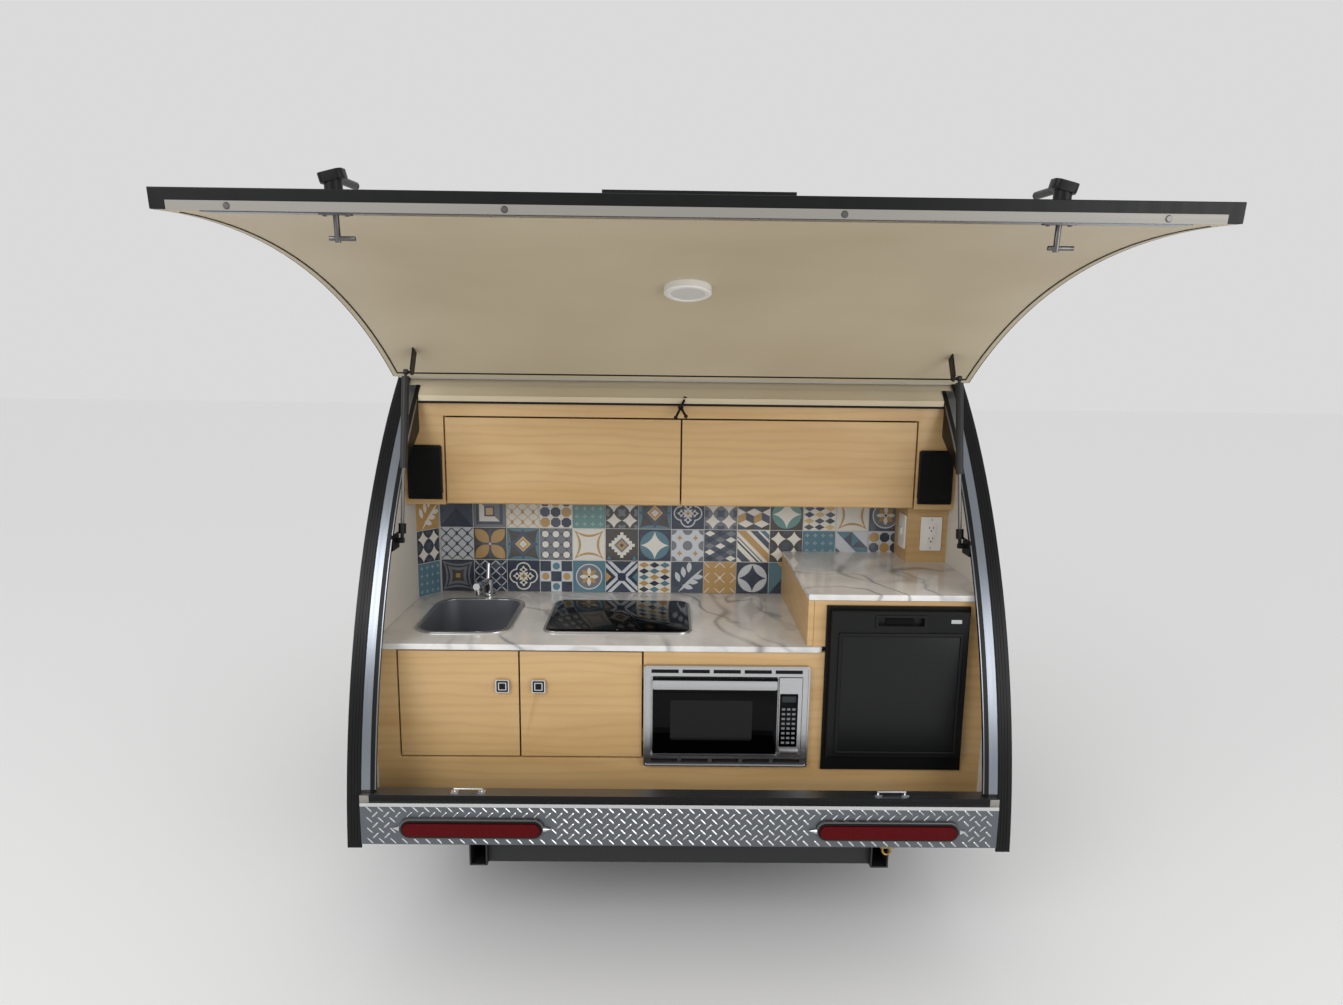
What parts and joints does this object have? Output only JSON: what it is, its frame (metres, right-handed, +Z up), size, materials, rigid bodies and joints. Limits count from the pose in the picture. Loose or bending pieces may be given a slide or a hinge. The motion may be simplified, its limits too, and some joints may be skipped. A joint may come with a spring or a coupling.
{
  "type": "teardrop trailer with a rear galley",
  "caption": "Teardrop camping trailer with a lift-up rear hatch over a fitted galley, side doors, roof vent, sprung axle and tongue jack.",
  "frame": {"origin": "on the ground, centred under the trailer's box at rest with its hatch open", "axes": "+X to the right as seen from behind, +Y forwards to the coupler, +Z up"},
  "size_m": [2.255, 4.4858, 2.1241],
  "materials": {
    "shell_paint": "gloss",
    "black_trim": "satin ribbed",
    "jamb_metal": "polished",
    "tread_plate": "raised lug pattern",
    "birch": "clear satin",
    "marble": "veined stone look",
    "tile": "glazed patchwork",
    "liner": "smooth",
    "dark_steel": "satin",
    "black_glass": "glossy",
    "chrome": "bright",
    "lamp_red": "clear gloss",
    "black_plastic": "fine grain",
    "frame_steel": "satin",
    "tyre": "tread",
    "wheel_alloy": "machined",
    "window": "tinted",
    "mattress_cloth": "woven",
    "bottle_paint": "gloss",
    "white_plastic": "smooth",
    "steel_bright": "satin"
  },
  "bodies": {
    "trailer": {"axle": "frame_steel", "battery_box": "black_plastic", "bulkhead": "birch", "chassis_rails": "frame_steel", "cooktop": "black_glass", "counter_main": "marble", "counter_raised": "marble", "coupler": "steel_bright", "edge_trims": "black_trim", "faucet": "chrome", "fenders": "shell_paint", "floor_deck": "black_plastic", "fridge_case": "white_plastic", "gas_bottle": "bottle_paint", "hatch_seal": "black_trim", "jack_housing": "steel_bright", "jamb_frame": "jamb_metal", "lower_cabinet": "birch", "mattress": "mattress_cloth", "microwave_case": "black_plastic", "outlet_column": "birch", "rear_sill": "jamb_metal", "roof_shell": "shell_paint", "roof_vent_base": "white_plastic", "side_wall_left": "shell_paint", "side_wall_right": "shell_paint", "sink_basin": "dark_steel", "speakers": "black_plastic", "tail_lamps": "lamp_red", "tile_splash": "tile", "tongue_frame": "frame_steel", "tread_plates": "tread_plate", "upper_cabinet": "birch"},
    "hatch": {"hatch_shell": "shell_paint", "hatch_liner": "liner", "hatch_trim": "black_trim", "hatch_rail": "jamb_metal", "hatch_fittings": "black_plastic", "puck_light": "white_plastic"},
    "vent_lid": {"roof_vent_lid": "white_plastic"},
    "microwave_door": {"microwave_door": "black_glass"},
    "fridge_door": {"fridge_door": "black_plastic"},
    "jack_leg": {"jack_leg": "steel_bright"},
    "wheel_left": {"tyre_left": "tyre", "rim_left": "wheel_alloy"},
    "door_left": {"door_left": "shell_paint", "door_glass_left": "window"},
    "lower_door_left": {"lower_door_left": "birch"},
    "upper_door_left": {"upper_door_left": "birch"},
    "strut_cylinder_left": {"strut_cylinder_left": "frame_steel"},
    "strut_rod_left": {"strut_rod_left": "steel_bright"},
    "wheel_right": {"tyre_right": "tyre", "rim_right": "wheel_alloy"},
    "door_right": {"door_right": "shell_paint", "door_glass_right": "window"},
    "lower_door_right": {"lower_door_right": "birch"},
    "upper_door_right": {"upper_door_right": "birch"},
    "strut_cylinder_right": {"strut_cylinder_right": "frame_steel"},
    "strut_rod_right": {"strut_rod_right": "steel_bright"}
  },
  "joints": [
    {"name": "hatch_hinge", "type": "hinge", "parent": "trailer", "child": "hatch", "pos_m": [0, -1.00083, 1.6765], "axis": [-1, 0, 0], "range_deg": [-75.4, 0]},
    {"name": "strut_pivot_left", "type": "hinge", "parent": "hatch", "child": "strut_cylinder_left", "pos_m": [-0.822, -1.19506, 1.66799], "axis": [1, 0, 0], "range_deg": [-103.47, 0]},
    {"name": "strut_rod_left", "type": "slide", "parent": "strut_cylinder_left", "child": "strut_rod_left", "axis": [0, -0.2009, -0.9796], "range_m": [-0.10052, 0]},
    {"name": "strut_pivot_right", "type": "hinge", "parent": "hatch", "child": "strut_cylinder_right", "pos_m": [0.822, -1.19506, 1.66799], "axis": [1, 0, 0], "range_deg": [-103.47, 0]},
    {"name": "strut_rod_right", "type": "slide", "parent": "strut_cylinder_right", "child": "strut_rod_right", "axis": [0, -0.2009, -0.9796], "range_m": [-0.10052, 0]},
    {"name": "door_hinge_left", "type": "hinge", "parent": "trailer", "child": "door_left", "pos_m": [-0.9205, 0.67192, 1.07], "axis": [0, 0, -1], "range_deg": [0, 90]},
    {"name": "door_hinge_right", "type": "hinge", "parent": "trailer", "child": "door_right", "pos_m": [0.9205, 0.67192, 1.07], "axis": [0, 0, 1], "range_deg": [0, 90]},
    {"name": "lower_door_hinge_left", "type": "hinge", "parent": "trailer", "child": "lower_door_left", "pos_m": [-0.82, -1.38408, 0.7], "axis": [0, 0, -1], "range_deg": [0, 90]},
    {"name": "lower_door_hinge_right", "type": "hinge", "parent": "trailer", "child": "lower_door_right", "pos_m": [-0.113, -1.38408, 0.7], "axis": [0, 0, 1], "range_deg": [0, 90]},
    {"name": "upper_door_hinge_left", "type": "hinge", "parent": "trailer", "child": "upper_door_left", "pos_m": [-0.38, -1.02508, 1.524], "axis": [-1, 0, 0], "range_deg": [0, 80]},
    {"name": "upper_door_hinge_right", "type": "hinge", "parent": "trailer", "child": "upper_door_right", "pos_m": [0.38, -1.02508, 1.524], "axis": [-1, 0, 0], "range_deg": [0, 80]},
    {"name": "microwave_hinge", "type": "hinge", "parent": "trailer", "child": "microwave_door", "pos_m": [-0.081, -1.40008, 0.685], "axis": [0, 0, -1], "range_deg": [0, 90]},
    {"name": "fridge_hinge", "type": "hinge", "parent": "trailer", "child": "fridge_door", "pos_m": [0.822, -1.41858, 0.77], "axis": [0, 0, 1], "range_deg": [0, 90]},
    {"name": "vent_lid_hinge", "type": "hinge", "parent": "trailer", "child": "vent_lid", "pos_m": [0, 0.53492, 2.09305], "axis": [-1, 0, 0], "range_deg": [0, 60]},
    {"name": "wheel_spin_left", "type": "hinge", "parent": "trailer", "child": "wheel_left", "pos_m": [-1.034, -0.40708, 0.313], "axis": [1, 0, 0], "continuous": true},
    {"name": "wheel_spin_right", "type": "hinge", "parent": "trailer", "child": "wheel_right", "pos_m": [1.034, -0.40708, 0.313], "axis": [1, 0, 0], "continuous": true},
    {"name": "jack_slide", "type": "slide", "parent": "trailer", "child": "jack_leg", "axis": [0, 0, 1], "range_m": [0, 0.25]}
  ],
  "couplings": [
    {"joint": "strut_pivot_left", "follows": "hatch_hinge", "ratio": 1.3716},
    {"joint": "strut_rod_left", "follows": "hatch_hinge", "m_per_rad": 0.076306},
    {"joint": "strut_pivot_right", "follows": "hatch_hinge", "ratio": 1.3716},
    {"joint": "strut_rod_right", "follows": "hatch_hinge", "m_per_rad": 0.076306}
  ]
}
